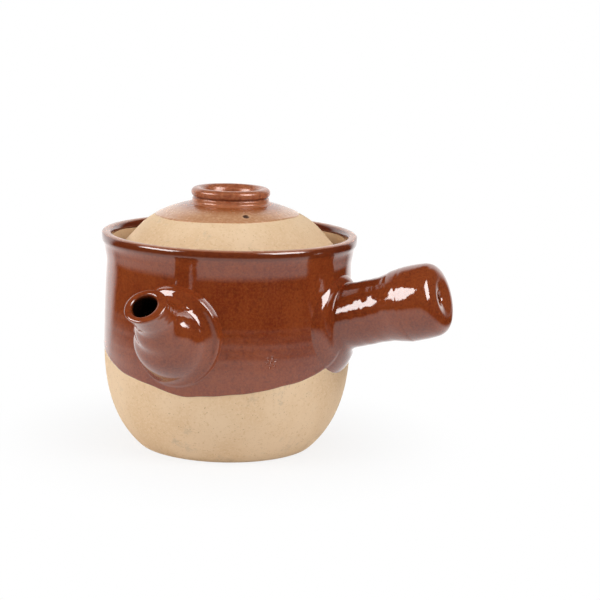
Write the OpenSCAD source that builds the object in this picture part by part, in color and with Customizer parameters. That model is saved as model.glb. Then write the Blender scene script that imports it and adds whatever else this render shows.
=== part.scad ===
// Half-glazed stoneware pot for simmering herbs, with a side handle, a pouring spout
// and a loose domed lid. Millimetres, +Z up. The origin is on the pot's axis at the flat
// base. The handle points along +X and the spout along -Y. The lid lifts off along +Z.

/* [Pot body] */
// Outside diameter over the glazed rim
mouth_d = 155; // [145:1:175]
// Height from the table to the top of the rim
pot_h = 130; // [122:1:150]
// How far the belly's radius is less than the rim's
belly_in = 2; // [0:0.5:6]
// How far the neck's radius is less than the rim's
neck_in = 3; // [1:0.5:5]
// Height of the belly, the widest line of the wall
belly_z = 67; // [58:1:74]
// Diameter of the flat foot
foot_d = 106; // [90:1:116]
// Fullness of the bowl under the belly, 2 is an ellipse
bowl_power = 2.56; // [2.2:0.02:3]
// Thickness of the thrown wall
wall_t = 5.5; // [4:0.5:7]
// Thickness of the floor
floor_t = 6.5; // [5:0.5:9]

/* [Rim and lid seat] */
// Thickness of the rounded lip
lip_t = 5.5; // [4.5:0.5:6.5]
// Height of the flare that runs from the neck to the lip
flare_h = 7; // [4:0.5:14]
// Depth of the seat ledge under the top of the rim
ledge_drop = 14; // [11:0.5:18]
// How far the ledge stands in from the gallery wall
ledge_w = 7.3; // [6:0.1:10]
// Thickness of the ledge at its nose
ledge_t = 5; // [4:0.5:7]
// Height over which the ledge's underside runs back into the wall
ledge_brace = 6; // [4:0.5:10]

/* [Spout] */
// Height at which the spout's axis meets the wall
spout_z = 79; // [72:1:84]
// Angle of the spout above the horizontal
spout_rise = 36.5; // [28:0.5:44]
// Length from the wall to the middle of the tip, along the axis
spout_len = 38; // [34:1:46]
// How far the tip's face leans up from square to the axis
spout_tip_lean = 14; // [0:1:20]
// Diameter of the pouring tube
spout_tube_d = 22.6; // [20:0.2:26]
// Diameter of the pouring bore
spout_bore_d = 14; // [10:0.5:15]
// Greatest radius of the swelling at the root
spout_bulb_r = 22.6; // [20:0.2:24]
// Radius of the arc that shapes the swelling lengthwise
spout_bulb_arc = 67; // [55:1:80]
// Distance of the swelling's widest ring behind the wall
spout_bulb_back = 10; // [6:0.5:14]
// Wall thickness of the swelling
spout_wall_t = 4.5; // [3.5:0.5:6]
// Radius of the clay collar worked into the wall around the root
spout_collar_r = 27; // [24.5:0.5:30]
// Height of that collar above the wall
spout_collar_h = 5; // [3:0.5:8]

/* [Strainer behind the spout] */
// Diameter of each strainer hole
strainer_d = 5.5; // [4:0.5:6]
// Radius of the ring on which the outer holes lie
strainer_ring_r = 10.5; // [9:0.5:11]
// Number of holes on that ring
strainer_count = 6; // [4:1:8]

/* [Handle] */
// Height at which the handle's axis meets the wall
handle_z = 85; // [78:0.2:90]
// Angle of the handle above the horizontal
handle_rise = 16.6; // [10:0.2:24]
// Length from the wall to the end, along the axis
handle_len = 65; // [58:1:90]
// Radius of the grip
handle_grip_r = 19.2; // [17:0.2:21.4]
// Radius of the swollen end
handle_end_r = 22; // [21.6:0.2:26]
// Length of the swollen end, with its rounding
handle_end_len = 22; // [18:1:26]
// Length over which the grip widens into the swollen end
handle_swell_len = 17; // [6:1:20]
// Length of the rounding at the closed end
handle_round = 10; // [6:0.5:11]
// Squareness of that rounding, 2 is an ellipse
handle_round_power = 3; // [2:0.1:3.4]
// Wall thickness of the handle
handle_wall_t = 4.8; // [3.5:0.1:6.5]
// Diameter of the vent in the closed end
handle_vent_d = 4.5; // [3:0.5:6]
// Distance of the collar's centre under the axis at the wall
handle_collar_drop = 5.5; // [3:0.5:7]
// Radius of the clay collar worked into the wall around the root
handle_collar_r = 27.5; // [25:0.5:31]
// Height of that collar above the wall
handle_collar_h = 7; // [4:0.5:9]

/* [Lid] */
// Gap between the lid's edge and the gallery wall
lid_clearance = 2.8; // [1:0.1:3.5]
// Rise of the dome from its edge to the crown
lid_rise = 33; // [26:0.2:40]
// Width of the straight flank between the edge and the dome's shoulder
lid_flank_w = 14; // [9:0.5:16]
// Angle of that flank above the horizontal
lid_flank_slope = 48; // [45:0.5:52]
// Height of the upright edge band
lid_edge_h = 1; // [0.6:0.2:4]
// Thickness of the dome
lid_t = 5; // [4:0.2:6.6]
// Diameter of the steam hole
steam_hole_d = 4; // [3:0.5:6]
// Distance of the steam hole from the lid's centre
steam_hole_out = 37; // [31:0.5:42]
// Compass direction of the steam hole, from the handle towards the spout
steam_hole_turn = 50; // [0:1:359]

/* [Lid knob] */
// Outside diameter of the knob ring
knob_d = 47.5; // [42:0.5:54]
// Inside diameter at the top of the ring
knob_hollow_d = 32; // [24:0.5:36]
// Height of the ring above the crown
knob_h = 6.9; // [5.6:0.1:10]
// Depth of the groove round the ring
knob_groove = 1.2; // [0.6:0.1:2]
// Height of the rounded bead above the groove
knob_bead_h = 5; // [4:0.1:6]

/* [Glaze] */
// Thickness of the brown glaze
glaze_t = 0.5; // [0.3:0.1:0.8]
// Lowest height of the brown glaze on the wall
glaze_low_z = 45; // [40:1:50]
// Tilt of the dipping line
glaze_tilt = 16.3; // [0:0.1:18]
// Compass direction of the line's lowest point, from the handle towards the spout
glaze_turn = 76; // [60:1:100]
// How far the glaze runs down inside the lip
glaze_inside = 5; // [4:0.5:8]
// Thickness of the thin glaze on the lid's crown
crown_glaze_t = 0.3; // [0.2:0.1:0.6]
// Radius of the glazed crown
crown_glaze_r = 45; // [43:0.5:56]
// Tilt of the crown glaze's edge
crown_glaze_tilt = 1.5; // [0:0.1:3]
// Compass direction of that edge's lowest point, from the handle towards the spout
crown_glaze_turn = 154; // [0:1:359]

/* [Hidden] */
$fn = 96;

// Slip joint between separately thrown pieces
luting_gap = 0.3;
// Number of steps along one curved stretch of an outline
steps = 12;
// Reach of cutting tools and roots past the faces that they cross
over = 30;
// How far the crown glaze's blank runs past the line that it is cut to
crown_margin = 5;

// Heights and radii of the clay under the glaze
rim_z = pot_h - glaze_t;
rim_r = mouth_d/2 - glaze_t;
belly_r = rim_r - belly_in;
neck_r = rim_r - neck_in;
foot_r = foot_d/2;
lip_r = lip_t/2;
lip_z = rim_z - lip_r;
neck_z = lip_z - flare_h;
gallery_r = rim_r - lip_t;
mouth_r = gallery_r - ledge_w;
ledge_z = pot_h - ledge_drop;
brace_z = ledge_z - ledge_t - ledge_brace;

// The bowl is a superellipse that meets the table at the foot's radius
bowl_depth = belly_z/pow(1 - pow(foot_r/belly_r, bowl_power), 1/bowl_power);
hollow_depth = bowl_depth - wall_t;

// The dome is a cap of an ellipse that runs on into the straight flank at its shoulder
lid_r = gallery_r - lid_clearance;
lid_edge_z = ledge_z + lid_edge_h;
crown_z = lid_edge_z + lid_rise;
flank_tan = tan(lid_flank_slope);
shoulder_r = lid_r - lid_flank_w;
shoulder_drop = lid_rise - lid_flank_w*flank_tan;
shoulder_cos = shoulder_drop/(flank_tan*shoulder_r - shoulder_drop);
dome_a = shoulder_r/sqrt(1 - pow(shoulder_cos, 2));
dome_b = shoulder_drop/(1 - shoulder_cos);
crown_reach = crown_glaze_r + crown_margin;
knob_top_z = crown_z + knob_h;

// Radius of the glazed wall at the belly, where spout and handle are measured from
root_r = belly_r + glaze_t;

function dome_z(r) = r < shoulder_r
    ? crown_z - dome_b*(1 - sqrt(1 - pow(r/dome_a, 2)))
    : lid_edge_z + (lid_r - r)*flank_tan;
function bowl_angle(z, depth) = asin(pow((belly_z - z)/depth, bowl_power/2));
function bowl_line(r, depth, z) =
    let (end = bowl_angle(z, depth))
    [for (i = [0:steps])
        let (t = end*(1 - i/steps))
        [r*pow(cos(t), 2/bowl_power), belly_z - depth*pow(sin(t), 2/bowl_power)]];
function neck_line(r0, r1, top) =
    [for (i = [1:steps/2])
        let (u = 2*i/steps)
        [r0 + (r1 - r0)*u*u, belly_z + (top - belly_z)*u]];
function flare_line() =
    [for (i = [1:steps/2])
        let (u = 2*i/steps)
        [neck_r + (rim_r - neck_r)*(1 - cos(180*u))/2, neck_z + (lip_z - neck_z)*u]];
function lip_line() =
    [for (i = [1:steps])
        let (a = 180*i/steps)
        [rim_r - lip_r + lip_r*cos(a), lip_z + lip_r*sin(a)]];
function reversed(line) = [for (i = [len(line) - 1:-1:0]) line[i]];
function heading(line, i) = line[min(i + 1, len(line) - 1)] - line[max(i - 1, 0)];
function shifted(line, d) =
    [for (i = [0:len(line) - 1])
        let (h = heading(line, i))
        line[i] + d*[h[1], -h[0]]/norm(h)];

// Outside of the clay from the foot to the inner end of the lip
outer_line = concat(
    bowl_line(belly_r, bowl_depth, 0),
    neck_line(belly_r, neck_r, neck_z),
    flare_line(),
    lip_line());
// Inside of the clay from the floor's corner up to the ledge's brace
inner_line = concat(
    bowl_line(belly_r - wall_t, hollow_depth, floor_t),
    neck_line(belly_r - wall_t, neck_r - wall_t, brace_z));

module turned(line) {
    rotate_extrude() polygon(line);
}

// Coat of the given thickness laid on one side of a line
module coat(line, t) {
    turned(concat(line, reversed(shifted(line, t))));
}

// Everything inside the pot's outer surface, grown by a gap
module pot_bulk(gap) {
    turned(concat([[0, 0]], shifted(outer_line, gap), [[0, lip_z]]));
}

// Half space under a tilted line whose lowest point is at height z and radius r
module under_line(z, r, tilt, turn) {
    reach = 2*mouth_d;
    rotate([0, 0, -turn])
        translate([r, 0, z])
            rotate([0, tilt, 0])
                translate([-reach, -reach/2, -reach])
                    cube([2*reach, reach, reach]);
}

// Frame on the wall: local +Z runs outwards, tipped up by rise
module on_wall(turn, z, rise) {
    rotate([0, 0, -turn])
        translate([root_r, 0, z])
            rotate([0, 90 - rise, 0])
                children();
}

// Collar of clay that hollows from the wall up to the root that it holds
module collar(r, h, grow) {
    rotate_extrude()
        polygon([
            [0, -over],
            [r + h + grow, -over],
            [r + h + grow, -h],
            [r + grow, 0],
            [r - 0.6*h + grow, 0.45*h],
            [r - h + grow, h],
            [0, h]]);
}

module strainer_holes() {
    on_wall(90, spout_z, 0) {
        translate([0, 0, -over])
            cylinder(h = 2*over, d = strainer_d);
        for (i = [0:strainer_count - 1])
            rotate([0, 0, i*360/strainer_count])
                translate([strainer_ring_r, 0, -over])
                    cylinder(h = 2*over, d = strainer_d);
    }
}

module pot_body() {
    color("burlywood")
        difference() {
            turned(concat(
                outer_line,
                [[gallery_r, ledge_z],
                 [mouth_r, ledge_z],
                 [mouth_r, ledge_z - ledge_t]],
                reversed(inner_line),
                [[0, floor_t],
                 [0, 0]]));
            strainer_holes();
        }
}

module outer_glaze() {
    color("saddlebrown")
        difference() {
            coat(concat(outer_line, [[gallery_r, pot_h - glaze_inside]]), glaze_t);
            under_line(glaze_low_z, root_r, glaze_tilt, glaze_turn);
            spout_shape(luting_gap);
            handle_shape(luting_gap);
        }
}

module inner_glaze() {
    color("sienna")
        difference() {
            coat(concat(reversed(inner_line), [[0, floor_t]]), glaze_t);
            strainer_holes();
        }
}

// Distance along the spout at which its swelling has narrowed to radius r
function bulb_at(r) =
    -spout_bulb_back + sqrt(pow(spout_bulb_arc, 2) - pow(spout_bulb_arc - spout_bulb_r + r, 2));
function bulb_line(from, to, inset) =
    [for (i = [0:steps])
        let (s = from + (to - from)*i/steps)
        [spout_bulb_r - inset - spout_bulb_arc
            + sqrt(pow(spout_bulb_arc, 2) - pow(s + spout_bulb_back, 2)), s]];

spout_tube_r = spout_tube_d/2;
spout_bore_r = spout_bore_d/2;
spout_tip_t = spout_tube_r - spout_bore_r;

module spout_shape(grow) {
    on_wall(90, spout_z, spout_rise)
        turned(concat(
            [[0, -over]],
            bulb_line(-over, bulb_at(spout_tube_r), -grow),
            [[spout_tube_r + grow, spout_len + spout_tube_r],
             [0, spout_len + spout_tube_r]]));
    on_wall(90, spout_z, 0)
        collar(spout_collar_r, spout_collar_h, grow);
}

module spout_hollow() {
    on_wall(90, spout_z, spout_rise)
        turned(concat(
            [[0, -over]],
            bulb_line(-over, bulb_at(spout_tube_r + spout_tip_t), spout_wall_t),
            [[spout_bore_r, bulb_at(spout_tube_r)],
             [spout_bore_r, spout_len + over],
             [0, spout_len + over]]));
}

// Everything beyond the leaning face of the spout's tip
module spout_end() {
    on_wall(90, spout_z, spout_rise)
        translate([0, 0, spout_len])
            rotate([0, -spout_tip_lean, 0])
                cylinder(h = over, r = over);
}

module spout() {
    color("saddlebrown")
        difference() {
            spout_shape(0);
            pot_bulk(luting_gap);
            spout_hollow();
            spout_end();
        }
}

swell_end = handle_len - handle_end_len;
swell_start = swell_end - handle_swell_len;

// Outline of the handle from its root to its closed end, drawn in by inset
function handle_line(inset) = concat(
    [[handle_grip_r - inset, -over]],
    [for (i = [0:steps])
        let (u = i/steps)
        [handle_grip_r - inset + (handle_end_r - handle_grip_r)*(1 - cos(180*u))/2,
         swell_start + handle_swell_len*u]],
    [for (i = [0:steps])
        let (t = 90*i/steps)
        [(handle_end_r - inset)*pow(cos(t), 2/handle_round_power),
         handle_len - inset - handle_round + handle_round*pow(sin(t), 2/handle_round_power)]],
    [[0, -over]]);

module handle_shape(grow) {
    on_wall(0, handle_z, handle_rise)
        turned(handle_line(-grow));
    on_wall(0, handle_z - handle_collar_drop, 0)
        collar(handle_collar_r, handle_collar_h, grow);
}

module handle() {
    color("saddlebrown")
        difference() {
            handle_shape(0);
            pot_bulk(luting_gap);
            on_wall(0, handle_z, handle_rise) {
                turned(handle_line(handle_wall_t));
                cylinder(h = handle_len + over, d = handle_vent_d);
            }
        }
}

// Points of the dome's upper side between two radii, raised by lift
function dome_line(r0, r1, lift) =
    [for (i = [0:steps])
        let (r = r0 + (r1 - r0)*i/steps)
        [r, dome_z(r) + lift]];
// The skirt goes on from the crown, whose points the crown glaze shares
function skirt_line() =
    [for (i = [1:steps/2])
        let (r = crown_reach + (lid_r - crown_reach)*2*i/steps)
        [r, dome_z(r)]];

module steam_hole() {
    slope = atan(dome_b/dome_a*steam_hole_out/sqrt(pow(dome_a, 2) - pow(steam_hole_out, 2)));
    rotate([0, 0, -steam_hole_turn])
        translate([steam_hole_out, 0, dome_z(steam_hole_out)])
            rotate([0, slope, 0])
                translate([0, 0, -over/2])
                    cylinder(h = over, d = steam_hole_d);
}

module lid() {
    hollow_r = lid_r - (lid_t/cos(lid_flank_slope) - lid_edge_h)/flank_tan;
    hollow_line = shifted(dome_line(0, shoulder_r, 0), lid_t);
    color("wheat")
        difference() {
            turned(concat(
                dome_line(0, crown_reach, 0),
                skirt_line(),
                [[lid_r, ledge_z],
                 [hollow_r, ledge_z]],
                [for (i = [steps:-1:1]) hollow_line[i]],
                [[0, crown_z - lid_t]]));
            steam_hole();
        }
}

module lid_knob() {
    knob_r = knob_d/2;
    hollow_r = knob_hollow_d/2;
    bead_r = knob_bead_h/2;
    bead_z = knob_top_z - bead_r;
    groove_z = knob_top_z - knob_bead_h;
    inner_round = (knob_r - hollow_r)/4;
    color("sienna")
        turned(concat(
            dome_line(hollow_r, knob_r, luting_gap),
            [[knob_r, groove_z - knob_groove],
             [knob_r - knob_groove, groove_z]],
            [for (i = [0:steps])
                let (a = -90 + 180*i/steps)
                [knob_r - knob_groove + knob_groove*cos(a), bead_z + bead_r*sin(a)]],
            [for (i = [0:steps/2])
                let (a = 180*i/steps)
                [hollow_r + inner_round*(1 - sin(a)), knob_top_z - inner_round*(1 - cos(a))]]));
}

module lid_glaze() {
    color("tan")
        difference() {
            turned(concat(
                dome_line(0, crown_reach, 0),
                reversed(dome_line(0, crown_reach, crown_glaze_t))));
            under_line(dome_z(crown_glaze_r), crown_glaze_r, crown_glaze_tilt, crown_glaze_turn);
            steam_hole();
            rotate_extrude()
                translate([knob_hollow_d/2 - luting_gap, crown_z - over])
                    square([(knob_d - knob_hollow_d)/2 + 2*luting_gap, 2*over]);
        }
}

pot_body();
outer_glaze();
inner_glaze();
spout();
handle();
lid();
lid_knob();
lid_glaze();
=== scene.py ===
# %% [markdown]
# # A half-glazed stoneware pot
# The pot is a small one for simmering herbs: a thrown body with a rounded lip, a pouring
# spout, a hollow side handle a quarter turn from it, and a loose domed lid with a ring for
# a knob. Brown glaze covers the upper body, the spout and the handle. The foot and most of
# the lid are left as bare buff clay.
#
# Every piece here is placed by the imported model, which is loaded first. One unit is a
# metre in Blender, while a potter thinks in millimetres, so shapes are worked out in
# millimetres and scaled once, when a mesh is made.

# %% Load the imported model
from math import asin, cos, pi, radians, sin, sqrt, tan, tau

import bmesh
import bpy
import numpy as np
from mathutils import Matrix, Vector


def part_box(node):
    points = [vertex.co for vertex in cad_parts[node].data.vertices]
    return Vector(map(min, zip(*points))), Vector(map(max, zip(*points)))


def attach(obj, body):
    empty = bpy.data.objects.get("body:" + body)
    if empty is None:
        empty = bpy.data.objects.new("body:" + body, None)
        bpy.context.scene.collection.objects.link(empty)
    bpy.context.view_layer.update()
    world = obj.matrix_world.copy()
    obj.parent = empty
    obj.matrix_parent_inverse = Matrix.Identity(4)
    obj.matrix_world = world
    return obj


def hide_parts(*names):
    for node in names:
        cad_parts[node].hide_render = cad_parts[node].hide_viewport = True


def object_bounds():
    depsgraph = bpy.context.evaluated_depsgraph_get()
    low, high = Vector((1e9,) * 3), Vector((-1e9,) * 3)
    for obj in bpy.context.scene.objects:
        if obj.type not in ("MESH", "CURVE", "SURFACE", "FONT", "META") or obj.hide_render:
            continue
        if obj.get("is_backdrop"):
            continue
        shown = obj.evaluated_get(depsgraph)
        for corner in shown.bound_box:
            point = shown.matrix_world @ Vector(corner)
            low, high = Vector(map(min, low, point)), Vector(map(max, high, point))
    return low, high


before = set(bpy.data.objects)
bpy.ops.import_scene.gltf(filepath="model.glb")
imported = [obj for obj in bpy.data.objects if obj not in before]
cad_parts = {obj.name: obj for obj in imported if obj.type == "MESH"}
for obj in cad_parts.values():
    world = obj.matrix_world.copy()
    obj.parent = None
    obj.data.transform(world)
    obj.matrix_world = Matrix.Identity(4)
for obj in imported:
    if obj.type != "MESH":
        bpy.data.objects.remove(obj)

cad_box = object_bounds()
MM = 0.001


def box_mm(node):
    """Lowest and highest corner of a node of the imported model, in millimetres."""
    low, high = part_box(node)
    return [c / MM for c in low], [c / MM for c in high]


rim_r = box_mm("outer_glaze")[1][0]
rim_z = box_mm("outer_glaze")[1][2]
ledge_z = box_mm("lid")[0][2]
lid_r = box_mm("lid")[1][0]
crown_z = box_mm("lid")[1][2]
knob_top = box_mm("lid_knob")[1][2]
print("rim radius %.1f and height %.1f, ledge at %.1f mm" % (rim_r, rim_z, ledge_z))
print("lid radius %.1f, crown at %.1f, knob's top at %.1f mm" % (lid_r, crown_z, knob_top))

# %% [markdown]
# ## The camera
# The rim and the foot are circles, so their ellipses in the picture give the camera's
# height, and the wall's upright edges give its distance and lens. The pot stands so that
# the camera sees the spout to the left and the handle to the right. The camera is turned
# as a camera is by hand: a compass turn, then a tip downwards, then a slight roll.

# %% Camera
camera_turn = radians(25.7)
camera_out = 1.0
camera_height = 0.2773
camera_pan = radians(2.505)
camera_tip = radians(-10.669)
camera_roll = radians(1.78)

camera_data = bpy.data.cameras.new("camera")
camera_data.sensor_width = 36.0
camera_data.lens = 99.9
camera = bpy.data.objects.new("camera", camera_data)
bpy.context.collection.objects.link(camera)
camera_x = camera_out * sin(camera_turn)
camera_y = -camera_out * cos(camera_turn)
camera.matrix_world = (
    Matrix.Translation((camera_x, camera_y, camera_height))
    @ Matrix.Rotation(camera_turn - camera_pan, 4, "Z")
    @ Matrix.Rotation(pi / 2 + camera_tip, 4, "X")
    @ Matrix.Rotation(camera_roll, 4, "Z"))
bpy.context.scene.camera = camera
print("camera at", [round(c, 3) for c in camera.location])

# %% [markdown]
# ## Smooth lines
# A potter's outline is a few places where the hand pressed or lifted, and one smooth line
# between them. Each outline here is such a short list of knots, in millimetres from the
# axis and up from the table. A cubic curve joins the knots and is then cut into short,
# even steps, so that no flat facet shows in the gloss.


# %% Smooth lines
def along_line(line):
    """Distance of each point of a line from its start, measured along it."""
    return np.append(0.0, np.cumsum(np.linalg.norm(np.diff(line, axis=0), axis=1)))


def evenly(line, step):
    """The same line with its points about one step apart."""
    along = along_line(line)
    marks = np.linspace(0.0, along[-1], max(2, round(along[-1] / step)) + 1)
    return np.column_stack([np.interp(marks, along, part) for part in line.T])


def smooth_line(knots, step=0.8):
    """Points about one step apart on a smooth line through the knots."""
    knots = np.array(knots, float)
    gaps = np.linalg.norm(np.diff(knots, axis=0), axis=1)[:, None]
    slopes = np.diff(knots, axis=0) / gaps
    middle = (slopes[:-1] * gaps[1:] + slopes[1:] * gaps[:-1]) / (gaps[:-1] + gaps[1:])
    heading = np.vstack([slopes[:1], middle, slopes[-1:]])
    t = np.linspace(0.0, 1.0, 24)[:, None]
    spans = [
        (1 + 2 * t) * (1 - t) ** 2 * a + t * (1 - t) ** 2 * gap * start
        + t * t * (3 - 2 * t) * b - t * t * (1 - t) * gap * end
        for a, b, gap, start, end in zip(knots, knots[1:], gaps, heading, heading[1:])]
    return evenly(np.vstack(spans), step)


def joined(*lines):
    """Lines one after another, without the points that two of them share."""
    line = np.vstack(lines)
    fresh = np.append(True, np.linalg.norm(np.diff(line, axis=0), axis=1) > 1e-4)
    return line[fresh]


def beside(line, away):
    """The line moved off its right-hand side, which is outwards where it climbs."""
    run = np.gradient(line, axis=0)
    run = run / np.linalg.norm(run, axis=1)[:, None]
    return line + np.column_stack([run[:, 1], -run[:, 0]]) * away


# %% [markdown]
# ## The thrown body
# The bowl under the belly is a superellipse: a little squarer than an ellipse, as a pot is
# that was filled out from inside with a rib. Above the belly the wall leans in a touch,
# then turns out again under a rounded lip. Inside the lip a ledge carries the lid.
#
# The clay and the glaze on it share one outline. The knots of the rim are given as they
# are measured: in from the rim's edge and down from its top, over the glaze.

# %% Outline of the clay
glaze_t = 0.5
foot_r = 53.0
belly_r = rim_r - 2.5
belly_z = 67.0
fullness = 2.56
wall_t = 5.5
floor_t = 6.5
bowl_depth = belly_z / (1 - (foot_r / belly_r) ** fullness) ** (1 / fullness)


def bowl(radius, depth, floor_z, step):
    """The bowl's side from a floor height up to the belly."""
    low = asin(((belly_z - floor_z) / depth) ** (fullness / 2))
    t = np.linspace(low, 0.0, 300)
    line = np.column_stack([
        radius * np.cos(t) ** (2 / fullness),
        belly_z - depth * np.sin(t) ** (2 / fullness)])
    return evenly(line, step)


side = bowl(belly_r, bowl_depth, 1.2, 0.8)
foot = smooth_line([
    (0, 0), (20, 0), (40, 0), (50, 0), (51.9, 0), (52.9, 0.15), (53.7, 0.6), side[0]], 1.2)
rim_knots = [
    (2.0, 63), (2.2, 45), (2.6, 30), (3.0, 21), (3.0, 17.6), (2.85, 15.6), (2.5, 13.4),
    (2.1, 11.2), (1.7, 9), (1.25, 7.3), (0.6, 5.9), (0.1, 4.7), (0.0, 3.6), (0.0, 2.2),
    (0.3, 1.05), (1.1, 0.25), (2.3, 0), (3.8, 0.02), (5.0, 0.5), (5.8, 1.6), (6.2, 3), (6.5, 5)]
rim = smooth_line([(rim_r - inwards, rim_z - down) for inwards, down in rim_knots], 0.6)
outer_clay = joined(side, beside(rim, -glaze_t))
outer_along = along_line(outer_clay)
print("outside of the clay: %d points, %.0f mm long" % (len(outer_clay), outer_along[-1]))

# %% [markdown]
# The inside goes on from the lip: down the gallery, along the ledge, round its nose, back
# under it to the wall, and down to the floor. It shows only when the lid is off, so its
# points may lie further apart.

# %% Outline of the inside
gallery_r = rim_r - 6.0
ledge = smooth_line([
    outer_clay[-1], (gallery_r, 120), (gallery_r - 0.05, 118), (gallery_r - 0.4, 116.7),
    (70.2, ledge_z), (68, ledge_z - 0.05), (65.6, ledge_z - 0.1), (64.6, 115.4), (64.2, 114.4),
    (64.3, 112.4), (65.2, 110.4), (67.2, 107.2), (68.5, 104)], 1.0)
inner_r = belly_r - wall_t
inside = smooth_line([ledge[-1], (69.1, 90), (inner_r, belly_z + 8), (inner_r, belly_z)], 2.0)
inner_bowl = bowl(inner_r, bowl_depth - wall_t, floor_t, 2.0)[::-1]
pot_floor = smooth_line([inner_bowl[-1], (30, floor_t), (0, floor_t)], 3.0)
clay_line = joined(foot, outer_clay, ledge, inside, inner_bowl, pot_floor)
print("whole clay outline: %d points" % len(clay_line))

# %% [markdown]
# ### Off true
# A wheel-thrown wall is never quite round. The fingers leave shallow rings that climb it in
# a spiral, and drying pulls it a little out of true. Without this, the gloss looks turned
# by a machine. The same waver moves the clay, its glaze and the feet of the spout and the
# handle, so they stay together.


# %% Waver of the wall
def waver(turn, z):
    """How far out of true the wall is, in mm, at a compass turn and a height."""
    rings = 0.010 * np.sin(tau * z / 9.1 + turn) + 0.004 * np.sin(tau * z / 4.7 + turn + 2.0)
    drift = 0.14 * np.sin(2 * turn + z / 50 + 0.6) + 0.07 * np.sin(3 * turn - z / 38 + 2.1)
    return rings + drift


def off_true(grid):
    """The points of a turned grid, each moved out or in by the waver."""
    x, y, z = grid[..., 0], grid[..., 1], grid[..., 2]
    out = np.hypot(x, y)
    near_wall = np.clip(out / 50, 0, 1) ** 2
    share = 1 + near_wall * waver(np.arctan2(y, x), z) / np.maximum(out, 1)
    return np.stack([x * share, y * share, z], axis=-1)


def turned(line, columns=320):
    """The grid of points that an outline sweeps as the wheel turns."""
    turn = np.arange(columns) * tau / columns
    r, z = line[:, :1], line[:, 1:]
    return np.stack([r * np.cos(turn), r * np.sin(turn), z + 0 * turn], axis=-1)


# %% [markdown]
# ### Skins and bores
# A grid of points becomes a mesh by joining each point to its neighbours. Columns always
# run round and meet. Rows may close too, as on a spout, whose skin goes out along the
# outside and comes back through the bore. Holes are cut with a solid peg, which is a
# little wider at the surface, because glaze and a wet sponge soften such an edge.


# %% Skins
def skin(name, *grids, closed=False):
    """A smooth piece over one or more grids of points in millimetres."""
    points, faces, count = [], [], 0
    for grid in grids:
        rows, columns = grid.shape[:2]
        spot = count + np.arange(rows * columns).reshape(rows, columns)
        count += rows * columns
        if closed:
            spot = np.vstack([spot, spot[:1]])
        beyond = np.roll(spot, -1, axis=1)
        quads = np.stack([spot[:-1], beyond[:-1], beyond[1:], spot[1:]], axis=-1)
        points += (grid.reshape(-1, 3) * MM).tolist()
        faces += quads.reshape(-1, 4).tolist()
    mesh = bpy.data.meshes.new(name)
    mesh.from_pydata(points, [], faces)
    shape = bmesh.new()
    shape.from_mesh(mesh)
    bmesh.ops.remove_doubles(shape, verts=shape.verts, dist=1e-7)
    bmesh.ops.recalc_face_normals(shape, faces=shape.faces)
    shape.to_mesh(mesh)
    shape.free()
    piece = bpy.data.objects.new(name, mesh)
    bpy.context.collection.objects.link(piece)
    return piece


def smoothed(piece, crease=40):
    """Smooth shading, with an edge kept sharp where faces meet at more than the crease."""
    piece.data.shade_smooth()
    piece.data.set_sharp_from_angle(angle=radians(crease))
    print("%s: %d faces" % (piece.name, len(piece.data.polygons)))


# %% Bores
def peg(point, way, radius, flare, columns=40):
    """Grid of a solid peg along a direction, which widens where it comes out at a point."""
    line = np.array([
        (0, -12), (radius, -12), (radius, -1.2), (radius + 0.2 * flare, -0.5),
        (radius + flare, 0.05), (radius + 3 * flare, 2), (radius + 3 * flare, 8), (0, 8)])
    up = np.array(way, float) / np.linalg.norm(way)
    across = np.cross(up, (0.0, 0.3, 1.0))
    across /= np.linalg.norm(across)
    return np.array(point) + turned(line, columns) @ np.array([across, np.cross(up, across), up])


def bored(piece, pegs):
    """Cuts the pegs out of the piece."""
    borer = skin("borer", *pegs)
    cut = piece.modifiers.new("bore", "BOOLEAN")
    cut.solver = "MANIFOLD"
    cut.object = borer
    whole = piece.data
    scene_now = bpy.context.evaluated_depsgraph_get()
    piece.data = bpy.data.meshes.new_from_object(piece.evaluated_get(scene_now))
    piece.modifiers.clear()
    faces = (len(whole.polygons), len(piece.data.polygons))
    print("%s: %d faces before boring, %d after" % (piece.name, *faces))
    bpy.data.meshes.remove(whole)
    bpy.data.meshes.remove(borer.data)


# %% [markdown]
# Seven small holes through the wall behind the spout hold the herbs back. They go through
# the clay and both of its glazes, so all three are cut with the same pegs.

# %% Thrown body
strainer_z = 79.0
strainer_ring = 10.5
strainer_r = 2.75
strainer_spots = [(0.0, 0.0)] + [
    (strainer_ring * cos(tau * i / 6), strainer_ring * sin(tau * i / 6)) for i in range(6)]
soft_edge = 0.4
strainer_pegs = [
    peg((x, -sqrt(belly_r ** 2 - x * x), strainer_z + up), (0, -1, 0), strainer_r, soft_edge)
    for x, up in strainer_spots]

body = skin("thrown_body", off_true(turned(clay_line)))
bored(body, strainer_pegs)
smoothed(body)
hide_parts("pot_body")
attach(body, "pot")

# %% [markdown]
# ## The dipped glaze
# The pot was held at a slant and dipped upside down, so the glaze's edge is a tilted ring:
# low between spout and handle and high behind. It sags a little under the spout. The coat
# is half a millimetre thick with a rounded edge and a slight bead, where wet glaze gathers.
# Its back lies a little inside the clay, so that no gap opens between the two.

# %% Coats of glaze
edge_round = 0.8
coat_grip = 0.15


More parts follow.
